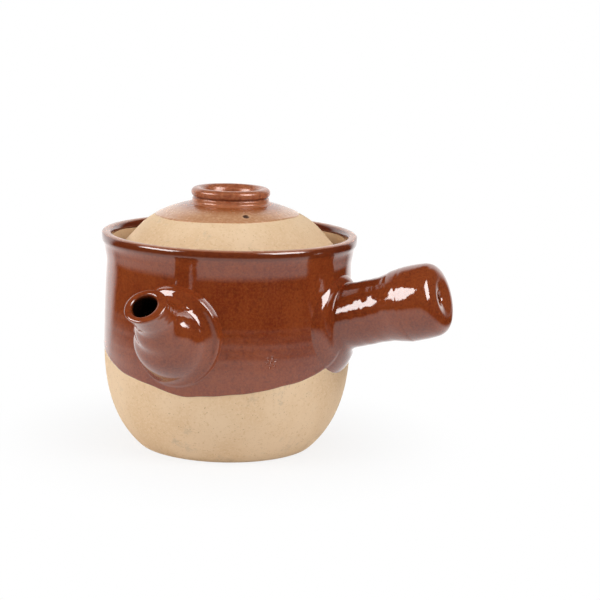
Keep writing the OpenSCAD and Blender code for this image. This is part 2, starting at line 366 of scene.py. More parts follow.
def coat(line, start, end, thick, bead=0.0):
    """Closed grid of a coat between two distances along an outline, one pair a column."""
    along = along_line(line)
    away = beside(line, 1.0) - line
    span = end - start
    edge = np.array([0, 0.06, 0.15, 0.3, 0.5, 0.75, 1.1, 1.6, 2.3])[:, None] + 0 * span
    share = np.linspace(0, 1, round(span.max() / 0.8))[1:-1, None]
    middle = share * (span - 2 * edge[-1]) + edge[-1]
    reach = np.vstack([edge, middle, span - edge[::-1]])
    near = np.minimum(reach, span - reach)
    rounding = np.sqrt(1 - (1 - np.minimum(near / edge_round, 1)) ** 2)
    lift = thick * rounding + bead * np.exp(-((near - 1.2) / edge_round) ** 2)
    reach = np.vstack([reach, reach[-4:3:-3]])
    lift = np.vstack([lift, np.full((len(reach) - len(lift), len(span)), -coat_grip)])
    place = start + reach
    r = np.interp(place, along, line[:, 0]) + lift * np.interp(place, along, away[:, 0])
    z = np.interp(place, along, line[:, 1]) + lift * np.interp(place, along, away[:, 1])
    turn = np.arange(len(span)) * tau / len(span)
    return np.stack([r * np.cos(turn), r * np.sin(turn), z], axis=-1)


def dip_height(turn):
    """Height of the glaze's lower edge on the wall, in mm, at a compass turn."""
    slant = 67.8 - 22.14 * np.cos(turn + radians(75.9))
    under_spout = 2.2 * np.exp(-((turn + radians(85.3)) / radians(8)) ** 2)
    hand = 0.3 * np.sin(7 * turn + 1.0) + 0.18 * np.sin(16 * turn) + 0.1 * np.sin(29 * turn + 2.0)
    return slant - under_spout + hand


# %% Dipped glaze
turn = np.arange(400) * tau / 400
turn = np.where(turn > pi, turn - tau, turn)
climb = outer_clay[:, 1] < rim_z - 5
climb[np.argmin(climb):] = False
dip_start = np.interp(dip_height(turn), outer_clay[climb, 1], outer_along[climb])
dip_end = outer_along[-1] - 0.6 + 0.35 * np.sin(5 * turn) + 0.2 * np.sin(13 * turn + 1)
dip_bead = 0.08
dip_coat = coat(outer_clay, dip_start, dip_end, glaze_t, dip_bead)
glaze = skin("dipped_glaze", off_true(dip_coat), closed=True)
bored(glaze, strainer_pegs)
smoothed(glaze)
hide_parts("outer_glaze")
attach(glaze, "pot")

# %% [markdown]
# ## The poured liner
# A dark liner glaze was poured in and swilled round. It stops under the ledge.

# %% Poured liner
liner_line = joined(ledge[np.argmax(ledge[:, 1] < 109):], inside, inner_bowl, pot_floor)
liner_back = joined(beside(liner_line, -coat_grip)[:-1], [[0, floor_t - coat_grip]])
liner_face = joined(beside(liner_line, glaze_t)[2:-1], [[0, floor_t + glaze_t]])
liner_round = joined(liner_back[::-1], liner_line[:1], liner_face)
liner = skin("poured_liner", off_true(turned(liner_round, 256)))
bored(liner, strainer_pegs)
smoothed(liner)
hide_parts("inner_glaze")
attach(liner, "pot")

# %% [markdown]
# ## Spout and handle
# Both are thrown as hollow shapes, cut to the wall and luted on, and a finger works clay
# round the joint, so they seem to grow out of the wall. A sweep along a path would meet
# the wall in a hard line. Instead each column of points round the limb is one curve: it
# leaves the wall, bends up in a fillet, runs out along the limb, turns over the tip and
# comes back inside to the wall.


# %% The wall that limbs grow from
wall_line = beside(outer_clay, glaze_t)[climb]


def wall_r(z):
    """Radius of the glazed wall at a height."""
    return np.interp(z, wall_line[:, 1], wall_line[:, 0])


def on_wall(turn, z, deep=0.0):
    """Points on the glazed wall, or some way under its surface."""
    r = wall_r(z) + waver(turn, z) - deep
    return np.stack([r * np.cos(turn), r * np.sin(turn), z + 0 * r], axis=-1)


def unit(vectors):
    return vectors / np.linalg.norm(vectors, axis=-1, keepdims=True)


# %% [markdown]
# ### The limb's axis
# A limb is measured along its axis, from the wall's surface outwards, and round it. Its
# rings need not be plain circles. Hands left both limbs a little off: near the spout's tip
# the rings lean back, so that the mouth is cut at a slant, they are slightly oval, and the
# bores of both sit to one side.


# %% Axis and rings of a limb
class Limb:
    """The axis of a hollow limb that grows from the wall, and the rings round it."""

    def __init__(self, compass, height, rise, end, lean=0.0, oval=(1.0, 1.0), aside=0.0):
        self.compass, self.end = compass, end
        self.lean, self.oval, self.aside = lean, oval, aside
        self.turn = np.arange(256) * tau / 256
        out = np.array([cos(compass), sin(compass), 0.0])
        up = np.array([0.0, 0.0, 1.0])
        self.across = np.array([-sin(compass), cos(compass), 0.0])
        self.axis = out * cos(rise) + up * sin(rise)
        self.root = out * wall_r(height) + up * height
        above = up * cos(rise) - out * sin(rise)
        self.ray = np.cos(self.turn)[:, None] * self.across + np.sin(self.turn)[:, None] * above

    def near_tip(self, s):
        """0 along the tube, rising to 1 just before the tip."""
        return np.clip((s - self.end + 15) / 12, 0, 1)

    def ring(self, s, r):
        """A point for each column at a distance along the axis and a radius."""
        s, r = np.broadcast_arrays(s, r + 0 * self.turn)
        s = s - self.lean * self.near_tip(s) * r * np.sin(self.turn)
        sideways = r * (np.interp(r, (7.4, 11.0), self.oval) - 1) * np.cos(self.turn)
        sideways = sideways + self.aside * np.clip((11.0 - r) / 4, 0, 1) * self.near_tip(s)
        along = self.root + s[..., None] * self.axis
        return along + r[..., None] * self.ray + sideways[..., None] * self.across

    def leaves_wall(self, line):
        """How far along the axis each column of a tube comes out of the wall."""
        line = line[np.argsort(line[:, 0])]
        s = np.linspace(line[0, 0], line[-1, 0], 600)[:, None]
        points = self.ring(s, np.interp(s, line[:, 0], line[:, 1]))
        clear = np.hypot(points[..., 0], points[..., 1]) - wall_r(points[..., 2])
        i = np.argmax(clear > 0, axis=0)
        column = np.arange(len(self.turn))
        here, before = clear[i, column], clear[i - 1, column]
        return s[i, 0] - (s[1, 0] - s[0, 0]) * here / (here - before)


# %% [markdown]
# ### The fillet
# The foot of the fillet is an oval on the wall, whose half height may change round the
# limb. A Bezier curve joins it to the tube. How steeply the curve leaves the wall, its
# kick, makes the difference between clay that was smeared out flat and clay that stands up
# in a shoulder. A low welt, pushed up by the finger, may run round it. Where the wall is
# bare of glaze, the foot lies a little deeper, so that it still meets clay.


# %% Fillet of a limb
def foot_on_wall(limb, z, half_wide, half_high, aside=0.0):
    """Compass turn and height of each column's foot on the wall."""
    wide = limb.compass + (aside + half_wide * np.cos(limb.turn)) / wall_r(z)
    return wide, z + half_high(limb.turn) * np.sin(limb.turn)


def fillet(limb, foot, corner, high, slope, kick, bend, welt):
    """Grid of the curves from the foot on the wall up to the limb."""
    wide, tall = foot
    deep = 0.04 + 0.7 * np.clip((dip_height(wide) + 1 - tall) / 2, 0, 1)
    low = on_wall(wide, tall, deep)
    corner_turn = np.arctan2(corner[:, 1], corner[:, 0])
    inward = on_wall(
        wide + 0.02 * (corner_turn - wide), tall + 0.02 * (corner[:, 2] - tall), deep) - low
    outwards = np.stack([np.cos(wide), np.sin(wide), 0 * wide], axis=-1)
    leave_wall = unit(unit(inward) + kick(limb.turn)[:, None] * outwards)
    leave_limb = -unit(limb.axis + slope * limb.ray)
    bend_low = low + leave_wall * (bend * np.linalg.norm(corner - low, axis=-1, keepdims=True))
    bend_high = high + leave_limb * (bend * np.linalg.norm(corner - high, axis=-1, keepdims=True))
    t = np.linspace(0, 1, 44)[:, None, None]
    curve = ((1 - t) ** 3 * low + 3 * t * (1 - t) ** 2 * bend_low
             + 3 * t * t * (1 - t) * bend_high + t ** 3 * high)
    lift = welt * (1 + np.sin(limb.turn + radians(35)))[:, None] / 2
    return curve + lift * np.exp(-((t - 0.3) / 0.16) ** 2) * unit(limb.ray + outwards)


# %% Skin of a limb
def limb_skin(limb, outside, tip, hollow, foot, ridges, blend, kick, bend=0.62, welt=0.0):
    """Closed grid of a limb. Lines hold pairs of distance along its axis and radius."""
    def radius(s):
        return np.interp(s, outside[:, 0], outside[:, 1]) + ridges(s, limb.turn)

    meets = limb.leaves_wall(outside)
    start = meets + blend(limb.turn)
    slope = (radius(start + 0.5) - radius(start - 0.5))[:, None]
    corner, high = limb.ring(meets, radius(meets)), limb.ring(start, radius(start))
    rows = round((limb.end - start.mean()) / 0.7)
    s = start + np.linspace(0, 1, rows + 1)[1:, None] * (limb.end - start)
    shaft = limb.ring(s, radius(s))
    back = limb.leaves_wall(hollow) - 1.5
    s = hollow[0, 0] + np.linspace(0, 1, 24)[1:, None] * (back - hollow[0, 0])
    inwards = hollow[np.argsort(hollow[:, 0])]
    return np.concatenate([
        fillet(limb, foot, corner, high, slope, kick, bend, welt),
        shaft,
        limb.ring(tip[1:, :1], tip[1:, 1:]),
        limb.ring(s, np.interp(s, inwards[:, 0], inwards[:, 1]))])


# %% [markdown]
# ### The spout
# The spout swells at its root and narrows to a straight tube. Its tip was wiped flat and
# has a soft edge. The fillet stands up in a sharp shoulder above and to the right, where
# the light catches it, and is smeared out flat below.

# %% Outline of the spout
spout_z = 79.0
spout_rise = radians(36.5)
bore_aside = -1.1
bulb_r = 22.6
bulb_arc = 67.0
bulb_back = 10.0
bulb = [
    (s, bulb_r - bulb_arc + sqrt(bulb_arc ** 2 - (s + bulb_back) ** 2))
    for s in range(-30, 1, 5)]
spout_outside = smooth_line(bulb + [
    (5, 21.0), (9, 19.5), (13, 17.4), (16, 15.4), (19, 13.3), (21.5, 12.0), (24, 11.5),
    (29, 11.5), (33, 11.6), (36.6, 11.9)], 0.5)
spout_tip = smooth_line([
    (36.6, 11.9), (37.3, 11.75), (37.8, 11.2), (38.05, 10.4), (38.0, 9.4), (37.8, 8.6),
    (37.2, 7.95), (36.2, 7.6), (34.6, 7.3), (32, 7.0)], 0.3)
spout_hollow = smooth_line([
    (32, 7.0), (22, 7.0), (17, 8), (12, 10.5), (6, 13), (0, 15), (-10, 17.5), (-30, 18)], 0.8)
print("spout: %.1f mm along its axis" % spout_tip[:, 0].max())


# %% Hand of the spout
def spout_blend(a):
    """How far up the spout its fillet runs."""
    return 9 + 3 * np.sin(a)


def spout_foot(a):
    """Half height of the fillet's foot on the wall."""
    return 30.0 - 0.5 * np.sin(a)


def spout_kick(a):
    """How steeply the fillet leaves the wall: a sharp shoulder above and to the right."""
    return 0.75 + 0.65 * np.sin(a + radians(35))


def spout_rings(s, a):
    """Slimmer under the left side of the swelling, and throwing rings on the tube."""
    slim = -2.6 * np.exp(-((s - 9) / 6) ** 2) * (1 - np.sin(a + radians(45))) / 2
    on_tube = np.clip((s - 14) / 8, 0, 1) * np.clip((35 - s) / 3, 0, 1)
    return slim + 0.03 * np.sin(tau * s / 5.0 + a) * on_tube


# %% Spout
spout_limb = Limb(
    radians(-90), spout_z, spout_rise, spout_outside[-1, 0],
    lean=tan(radians(14)), oval=(0.96, 1.05), aside=bore_aside)
spout = skin("luted_spout", limb_skin(
    spout_limb, spout_outside, spout_tip, spout_hollow,
    foot_on_wall(spout_limb, spout_z, 29.0, spout_foot, aside=2.0),
    spout_rings, spout_blend, spout_kick, welt=1.8), closed=True)
smoothed(spout, 60)
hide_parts("spout")
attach(spout, "pot")

# %% [markdown]
# ### The handle
# The handle is a fat tube with a swollen, closed end, and a vent there lets out the air
# that would burst it in the kiln. Its throwing rings and lumps are deep enough to break up
# the light along it, and a groove marks where the swelling was turned in.

# %% Outline of the handle
handle_z = 85.0
handle_rise = radians(16.6)
vent_aside = -1.2
handle_outside = smooth_line([
    (-30, 19.1), (0, 19.1), (14, 19.1), (25, 19.15), (30, 19.5), (34, 20.3), (38, 21.3),
    (42, 21.9), (47, 22.05), (52, 22.0), (56, 21.75)], 0.5)
handle_tip = smooth_line([
    (56, 21.75), (59.2, 21.2), (61.6, 20.0), (63.2, 18.2), (64.3, 15.6), (64.8, 12.4),
    (64.7, 9), (64.2, 6), (63.5, 4), (62.8, 2.9), (62.0, 2.4), (61.2, 2.25), (60.2, 2.2),
    (59.8, 2.6), (59.7, 6), (59.2, 12), (57.6, 15.6), (54, 17.2)], 0.5)
handle_hollow = smooth_line([
    (54, 17.2), (46, 17.2), (40, 16.6), (34, 15.2), (28, 14.5), (0, 14.3), (-30, 14.3)], 0.8)
print("handle: %.1f mm along its axis" % handle_tip[:, 0].max())


# %% Hand of the handle
def handle_blend(a):
    """How far up the handle its fillet runs: short on top and long underneath."""
    return 8 - 4 * np.sin(a) + 2 * np.cos(a)


def handle_foot(a):
    """Half height of the fillet's foot on the wall, less above than below."""
    return 29.3 - 2.3 * np.sin(a)


def handle_kick(a):
    """How steeply the fillet leaves the wall."""
    return 0.95 + 0.1 * np.sin(a)


def handle_rings(s, a):
    """Throwing rings, lumps and a groove on the handle."""
    rings = 0.02 * np.sin(tau * s / 6.3 + a) + 0.008 * np.sin(tau * s / 3.4 + a + 1.0)
    lumps = 0.05 * np.sin(tau * s / 14 + 3 * a) + 0.035 * np.sin(tau * s / 8.5 - 4 * a)
    groove = -0.12 * np.exp(-((s - 44) / 0.9) ** 2)
    return (rings + lumps + groove) * np.clip((s - 4) / 8, 0, 1) * np.clip((52 - s) / 4, 0, 1)


# %% Handle
handle_limb = Limb(0.0, handle_z, handle_rise, handle_outside[-1, 0], aside=vent_aside)
handle = skin("side_handle", limb_skin(
    handle_limb, handle_outside, handle_tip, handle_hollow,
    foot_on_wall(handle_limb, 83.0, 32.5, handle_foot),
    handle_rings, handle_blend, handle_kick, bend=0.85), closed=True)
smoothed(handle, 60)
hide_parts("handle")
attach(handle, "pot")

# %% [markdown]
# ## The lid
# The lid was thrown upside down and trimmed. Seen from the side it is a cap of an ellipse
# that runs on into a straight, steep flank. The ellipse is worked out so that it meets the
# flank without a corner.

# %% Curve of the lid
lid_t = 5.0
lid_edge_z = ledge_z + 1.0
flank_wide = 14.0
flank_tan = tan(radians(48))
shoulder_r = lid_r - flank_wide
shoulder_drop = crown_z - lid_edge_z - flank_wide * flank_tan
shoulder_cos = shoulder_drop / (flank_tan * shoulder_r - shoulder_drop)
dome_a = shoulder_r / sqrt(1 - shoulder_cos ** 2)
dome_b = shoulder_drop / (1 - shoulder_cos)


def dome_z(r):
    """Height of the dome's upper side at a radius."""
    r = np.asarray(r)
    cap = crown_z - dome_b * (1 - np.sqrt(1 - (np.minimum(r, shoulder_r) / dome_a) ** 2))
    return np.where(r < shoulder_r, cap, lid_edge_z + (lid_r - r) * flank_tan)


print("dome: ellipse of %.1f by %.1f mm out to %.1f mm" % (dome_a, dome_b, shoulder_r))

# %% [markdown]
# The underside runs alongside the dome, one thickness in. The edge between them is a
# small upright band with a flat to stand on.

# %% Outline of the lid
dome_radii = np.linspace(lid_r - 0.3, 0, 600)
dome = evenly(np.column_stack([dome_radii, dome_z(dome_radii)]), 0.8)
under = evenly(beside(dome, -lid_t), 2.0)
under = under[under[:, 1] > ledge_z + 1.5][::-1]
under_r = under[-1, 0]
lid_edge = smooth_line([
    under[-1], (under_r + 0.1, ledge_z + 0.6), (under_r + 0.7, ledge_z + 0.05),
    (under_r + 2, ledge_z), (lid_r - 1.5, ledge_z), (lid_r - 0.4, ledge_z + 0.1),
    (lid_r, ledge_z + 0.5), dome[0]], 0.4)
lid_line = joined(under, lid_edge, dome)
print("lid outline: %d points" % len(lid_line))

# %% [markdown]
# On the real lid a steam hole goes through square to the dome's slope, and an ellipse's
# slope comes straight from its formula. The solver only cuts closed shapes, though, and the
# underside's line misses the axis by 0.016 mm. So it turns this lid down with a warning,
# and the face count printed before and after stays the same. Only the wash on top is cut,
# and the clay under it shows the hole only as a dark patch of painted shade. Setting the
# underside's first radius to 0 would close the shape.

# %% Steam hole and lid
steam_turn = radians(-49.9)
steam_out = 36.7
steam_r = 1.4
steam_x = steam_out * cos(steam_turn)
steam_y = steam_out * sin(steam_turn)
steam_z = float(dome_z(steam_out))
steam_way = (
    steam_x / dome_a ** 2, steam_y / dome_a ** 2, (steam_z - crown_z + dome_b) / dome_b ** 2)
steam_pegs = [peg((steam_x, steam_y, steam_z), steam_way, steam_r, soft_edge)]

lid = skin("domed_lid", turned(lid_line, 288))
bored(lid, steam_pegs)
smoothed(lid)
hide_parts("lid")
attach(lid, "lid")

# %% [markdown]
# ### Crown glaze and knob
# The crown has a thin wash of glaze, which is half clear and pools round the knob. The
# knob is a thrown ring: a rounded bead over a groove over a low band, with a hollow that a
# fingertip fits, and on which the lid can stand when it is turned over.

# %% Crown glaze
wash_t = 0.3
wash_bead = 0.06
under_knob_r = 21.0
turn = np.arange(288) * tau / 288
wash_r = 43.2 + 1.9 * np.cos(turn + radians(154)) + 0.25 * np.sin(6 * turn)
dome_along = along_line(dome)
crown_start = np.interp(-wash_r, -dome[:, 0], dome_along)
crown_end = np.interp(-under_knob_r, -dome[:, 0], dome_along) + 0 * wash_r
crown = skin("crown_glaze", coat(dome, crown_start, crown_end, wash_t, wash_bead), closed=True)
bored(crown, steam_pegs)
smoothed(crown)
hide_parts("lid_glaze")
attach(crown, "lid")

# %% Ring knob
knob_line = smooth_line([
    (26.4, dome_z(26.4) - 0.2), (25.4, dome_z(25.4) + 0.2), (24.3, dome_z(24.3) + 0.7),
    (23.5, 148.4), (23.15, 149.3), (23.1, 150.2), (23.0, 150.8), (22.6, 151.2), (22.4, 151.5),
    (22.6, 151.85), (23.3, 152.3), (23.7, 153.0), (23.8, 154.0), (23.65, 155.1), (23.0, 156.0),
    (21.9, 156.7), (20.5, knob_top), (18.9, 156.6), (17.5, 155.6), (16.4, 154.0), (15.8, 152.2),
    (15.2, 150.9), (14.0, 150.35), (11, 150.2), (0, crown_z + 0.15)], 0.35)
knob_under = np.array([(0, crown_z - 0.5), (15, dome_z(15) - 0.5), (24, dome_z(24) - 0.5)])
knob = skin("ring_knob", turned(joined(knob_under, knob_line), 256))
smoothed(knob)
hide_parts("lid_knob")
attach(knob, "lid")

# %% [markdown]
# ## Shader sums
# Blender's shaders are webs of nodes. Drawn by hand a web is easy to lose the thread of,
# so here each finish is written as sums on values: `grain * 0.3 + 0.7` adds the two Math
# nodes that it needs. A value knows which tree it belongs to, and a tree has one method
# that makes any node.


# %% Shader values
class Value:
    """One output of a node, which can be added to, multiplied and mixed."""

    def __init__(self, tree, socket):
        self.tree = tree
        self.socket = socket

    def __add__(self, other):
        return self.tree.math("ADD", self, other)

    def __radd__(self, other):
        return self.tree.math("ADD", other, self)

    def __sub__(self, other):
        return self.tree.math("SUBTRACT", self, other)

    def __rsub__(self, other):
        return self.tree.math("SUBTRACT", other, self)

    def __mul__(self, other):
        return self.tree.math("MULTIPLY", self, other)

    def __rmul__(self, other):
        return self.tree.math("MULTIPLY", other, self)

    def __truediv__(self, other):
        return self.tree.math("DIVIDE", self, other)

    def __pow__(self, other):
        return self.tree.math("POWER", self, other)

    def __abs__(self):
        return self.tree.math("ABSOLUTE", self)

    def ramp(self, low, high):
        """0 under low, 1 over high, and a smooth slope between."""
        return self.tree.node(
            "ShaderNodeMapRange", {"interpolation_type": "SMOOTHSTEP"},
            {"Value": self, "From Min": low, "From Max": high})

    def band(self, middle, width):
        """1 at the middle, falling smoothly to 0 at width on either side."""
        return 1.0 - abs(self - middle).ramp(0.0, width)

    def mix(self, start, end):
        """A colour that goes from start to end as this value goes from 0 to 1."""
        return self.tree.node(
            "ShaderNodeMix", {"data_type": "RGBA"}, {0: self, 6: start, 7: end}, output=2)


def length(across, along):
    """How long a line is that goes so far across and so far along."""
    return (across * across + along * along) ** 0.5


# %% Shader trees
class Tree:
    """The node tree of a material or of the world."""

    def __init__(self, owner):
        owner.use_nodes = True
        self.nodes = owner.node_tree.nodes
        self.links = owner.node_tree.links
        self.nodes.clear()

    def node(self, kind, settings=None, values=(), output=0):
        """Makes a node: its settings first, then a value or a link for each socket named."""
        made = self.nodes.new(kind)
        for key, setting in (settings or {}).items():
            setattr(made, key, setting)
        pairs = values.items() if isinstance(values, dict) else enumerate(values)
        for key, value in pairs:
            socket = made.inputs[key]
            if isinstance(value, Value):
                self.links.new(value.socket, socket)
            elif isinstance(value, tuple) and socket.type == "RGBA":
                socket.default_value = (*value, 1.0)
            else:
                socket.default_value = value
        return Value(self, made.outputs[output]) if made.outputs else made

    def math(self, operation, *values):
        return self.node("ShaderNodeMath", {"operation": operation}, values)

    def place(self):
        """Where a point lies on the object, in metres."""
        return self.node("ShaderNodeTexCoord", output="Object")

    def parts(self, vector):
        """The three parts of a vector."""
        made = self.node("ShaderNodeSeparateXYZ", values=[vector])
        return [Value(self, out) for out in made.socket.node.outputs]

    def grain(self, size, detail=2.0, roughness=0.5, stretch=(1.0, 1.0, 1.0)):
        """Noise whose lumps are about size mm across, drawn out where stretch is under 1."""
        where = self.node(
            "ShaderNodeVectorMath", {"operation": "MULTIPLY"}, [self.place(), stretch])
        return self.node("ShaderNodeTexNoise", values={
            "Vector": where, "Scale": 1 / (size * MM), "Detail": detail, "Roughness": roughness})

    def bump(self, height, depth, strength=1.0):
        """A normal for a surface that the height lifts by up to depth mm."""
        return self.node("ShaderNodeBump", values={
            "Strength": strength, "Distance": depth * MM, "Height": height})

    def surface(self, **values):
        """The main shader, joined to the output."""
        sockets = {
            key.replace("_", " ").title().replace("Ior", "IOR"): value
            for key, value in values.items()}
        shader = self.node("ShaderNodeBsdfPrincipled", values=sockets)
        self.node("ShaderNodeOutputMaterial", values=[shader])


# %% Finishes
def finish(name):
    """A new material and its empty tree."""
    material = bpy.data.materials.new(name)
    return material, Tree(material)


def dress(material, *pieces):
    for piece in pieces:
        piece.data.materials.clear()
        piece.data.materials.append(material)
    print("%s on %s" % (material.name, ", ".join(piece.name for piece in pieces)))


# %% [markdown]
# ## Buff clay
# The bare stoneware is a sandy buff. It is matt, a little gritty, and never one colour: the
# flame darkened it in soft clouds, there are iron specks, and handling left faint grey
# smudges. All of it is noise at its real scale, mixed by how rare each mark is. A round
# patch of painted shade stands for the dark steam hole, which is not cut through the lid's clay.

# %% Colours of the clay
sand = (0.70, 0.49, 0.295)
pale_sand = (0.77, 0.57, 0.375)
toasted = (0.60, 0.39, 0.21)
iron = (0.30, 0.17, 0.09)
ash = (0.42, 0.33, 0.24)
# This darkest brown is painted shade, for the inside of the lid's steam hole.
steam_hole_shade = (0.05, 0.022, 0.012)


def beside_hole(east, north):
    """How far a point lies from the axis of the lid's steam hole, in metres."""
    return length(east - steam_x * MM, north - steam_y * MM)


# %% Buff clay
buff_clay, clay = finish("buff_clay")
cloud = clay.grain(34, 3, 0.55).ramp(0.35, 0.68)
speckle = clay.grain(1.5, 3, 0.6)
colour = cloud.mix(sand, pale_sand)
colour = (speckle.ramp(0.46, 0.66) * 0.7).mix(colour, pale_sand)
colour = (clay.grain(2.2, 3, 0.7).ramp(0.54, 0.72) * 0.55).mix(colour, toasted)
smudge = clay.grain(19, 4, 0.65).ramp(0.56, 0.74) * clay.grain(3.1, 3, 0.7).ramp(0.42, 0.62)
colour = (smudge * 0.55).mix(colour, ash)
speck = clay.grain(0.9, 1, 0.4).ramp(0.70, 0.76)
colour = (speck * 0.6).mix(colour, iron)
east, north, up = clay.parts(clay.place())
on_lid = up.ramp(0.116, 0.120)
# Painted shade: a dark round patch on the lid's clay where the steam hole would be.
painted_hole_shade = (1.0 - beside_hole(east, north).ramp(0.0015, 0.0019)) * on_lid
colour = painted_hole_shade.mix(colour, steam_hole_shade)
grit = clay.grain(0.55, 3, 0.6) + clay.grain(2.4, 2, 0.5) * 0.5
clay.surface(
    base_color=colour,
    roughness=0.72 + clay.grain(1.2, 2) * 0.2,
    specular_ior_level=0.35,
    normal=clay.bump(grit, 0.12, 0.6))
dress(buff_clay, body, lid)

# %% [markdown]
# ## Brown glaze
# The glaze is a clear brown, so it looks dark red-brown where it is thick and orange where
# it runs thin over an edge. Fine mottling, light and dark, and faint downward runs keep the
# wall alive, and a very shallow ripple bends the reflections as a real glaze does.

# %% Glaze colours
brown = (0.205, 0.038, 0.0105)
red_brown = (0.165, 0.026, 0.0075)
amber = (0.33, 0.080, 0.018)
umber = (0.075, 0.014, 0.006)
# This pale colour is a painted highlight, for the line of light along the lip's crest.
crest_highlight_pale = (0.52, 0.27, 0.165)
# This near black is painted shade, for inside the spout's bore and the handle's vent.
tube_shade_black = (0.004, 0.002, 0.001)


def glaze_colour(tree, thin):
    """Mottled brown, drawn towards amber where the glaze is thin."""
    mottle = tree.grain(1.3, 3, 0.65).ramp(0.36, 0.66)
    runs = tree.grain(7, 3, 0.55, stretch=(1.0, 1.0, 0.16)).ramp(0.38, 0.68)
    cloud = tree.grain(30, 2, 0.5).ramp(0.38, 0.64)
    colour = cloud.mix(red_brown, brown)
    colour = (runs * 0.16).mix(colour, amber)
    colour = (mottle * 0.34).mix(colour, amber)
    colour = (tree.grain(2.3, 3, 0.65).ramp(0.50, 0.70) * 0.34).mix(colour, umber)
    colour = (tree.grain(0.8, 2, 0.5).ramp(0.62, 0.74) * 0.5).mix(colour, umber)
    return thin.mix(colour, amber)


def ripple(tree):
    """Height of the shallow ripple of a fired glaze."""
    return tree.grain(9, 2, 0.4) + tree.grain(2.6, 2, 0.5) * 0.16


# %% [markdown]
# The glaze's colour changes with the place on the pot. Round the lip a dark band of painted
# shade stands for the dark room that the lip's outer face mirrors. Along the lip's crest, where
# the glaze runs thin and turns amber, a pale line is a painted highlight. Inside the spout's
# bore and the handle's vent painted shade makes it nearly black, as any narrow tube of dark
# glaze looks from outside. Masks for the two tubes are measured along their axes and out from
# them.


# %% Lip, bore and vent
def within_limb(out, across, above, rise):
    """How far a point lies along a limb's axis, and how far from it, in metres."""
    along = out * cos(rise) + above * sin(rise)
    return along, length(across, above * cos(rise) - out * sin(rise))


brown_glaze, wet = finish("brown_glaze")
east, north, up = wet.parts(wet.place())
# Painted shade: a dark umber band round the lip, for the dark room its outer face mirrors.
lip_painted_shade = up.ramp(0.1235, 0.1252) * (1.0 - up.ramp(0.1288, 0.1297)) * 0.55
# Painted highlight: a pale line along the lip's crest.
crest_highlight = up.ramp(0.1291, 0.1299) * 0.5
along, off_axis = within_limb(
    -wall_r(spout_z) * MM - north, east - bore_aside * MM, up - spout_z * MM, spout_rise)
bore = along.ramp(0.0, 0.01) * (1.0 - along.ramp(0.0352, 0.0385))
bore = bore * (1.0 - off_axis.ramp(0.0070, 0.0080))
along, off_axis = within_limb(
    east - wall_r(handle_z) * MM, north - vent_aside * MM, up - handle_z * MM, handle_rise)
vent = along.ramp(0.05, 0.055) * (1.0 - along.ramp(0.0618, 0.0630))
vent = vent * (1.0 - off_axis.ramp(0.0019, 0.0027))
colour = lip_painted_shade.mix(glaze_colour(wet, up.ramp(0.1290, 0.1299) * 0.25), umber)
colour = crest_highlight.mix(colour, crest_highlight_pale)
# Painted shade: the bore and the vent are coloured near black.
colour = (bore + vent).mix(colour, tube_shade_black)

# %% [markdown]
# Beside the spout a plain rosette of dimples was pressed into the wall before glazing: one
# dimple in the middle and six round it. It is no deeper than the glaze, so a bump will do.
# Its petals come from a wave that runs six times round the rosette's middle.

# %% Pressed rosette
mark_turn = radians(-44.8)
mark_z = 65.6
petals = 6
facing = east * cos(mark_turn) + north * sin(mark_turn)
across = north * cos(mark_turn) - east * sin(mark_turn)
above = up - mark_z * MM
from_mark = length(across, above)
wave = wet.math("SINE", wet.math("ARCTAN2", above, across) * petals)
dimples = from_mark.band(0.0027, 0.0013) * wave.ramp(0.0, 0.9) + from_mark.band(0.0, 0.0011)
rosette = dimples * facing.ramp(0.05, 0.06)

# %% Brown glaze
wet.surface(
    base_color=colour,
    roughness=0.07 + wet.grain(12, 3).ramp(0.4, 0.8) * 0.06 + up.ramp(0.1284, 0.1294) * 0.2,
    ior=1.56,
    normal=wet.bump(ripple(wet) - rosette * 5.0, 0.06))
dress(brown_glaze, glaze, spout, handle)

# %% [markdown]
# ## The other glazes
# The liner is the same glaze poured thick. The lid's crown has the thinnest wash, half
# clear over the buff clay, and it gathers into a darker pool against the knob. Round the
# steam hole it wears thin, and inside the hole painted shade makes it dark. The knob is
# between the two, satin rather than glossy, and its groove is darkened with painted shade.

# %% Liner
liner_glaze, dark = finish("liner_glaze")
dark.surface(
    base_color=(dark.grain(3, 3, 0.6).ramp(0.35, 0.7) * 0.6).mix(umber, brown),
    roughness=0.14,
    normal=dark.bump(ripple(dark), 0.12))
dress(liner_glaze, liner)

# %% Crown glaze
fawn = (0.485, 0.232, 0.112)
pale_fawn = (0.555, 0.305, 0.165)
pool = (0.27, 0.070, 0.018)

crown_wash, wash = finish("crown_glaze")
east, north, up = wash.parts(wash.place())
pooled = (1.0 - length(east, north).ramp(0.026, 0.038)) * 0.95
from_hole = beside_hole(east, north)
colour = wash.grain(2.0, 3, 0.6).ramp(0.36, 0.66).mix(fawn, pale_fawn)
colour = (pooled + wash.grain(5, 3, 0.6).ramp(0.5, 0.75) * 0.2).mix(colour, pool)
colour = (from_hole.band(0.0026, 0.0009) * 0.18).mix(colour, pale_sand)
# Painted shade: inside the steam hole the wash is coloured umber.
colour = (1.0 - from_hole.ramp(0.0016, 0.0022)).mix(colour, umber)
wash.surface(
    base_color=colour,
    roughness=0.2 + wash.grain(3, 3) * 0.12,
    ior=1.5,
    normal=wash.bump(ripple(wash), 0.08))
dress(crown_wash, crown)

# %% Knob glaze
russet = (0.29, 0.078, 0.030)
light_russet = (0.39, 0.140, 0.062)
dark_russet = (0.12, 0.032, 0.014)

knob_glaze, satin = finish("knob_glaze")
east, north, up = satin.parts(satin.place())
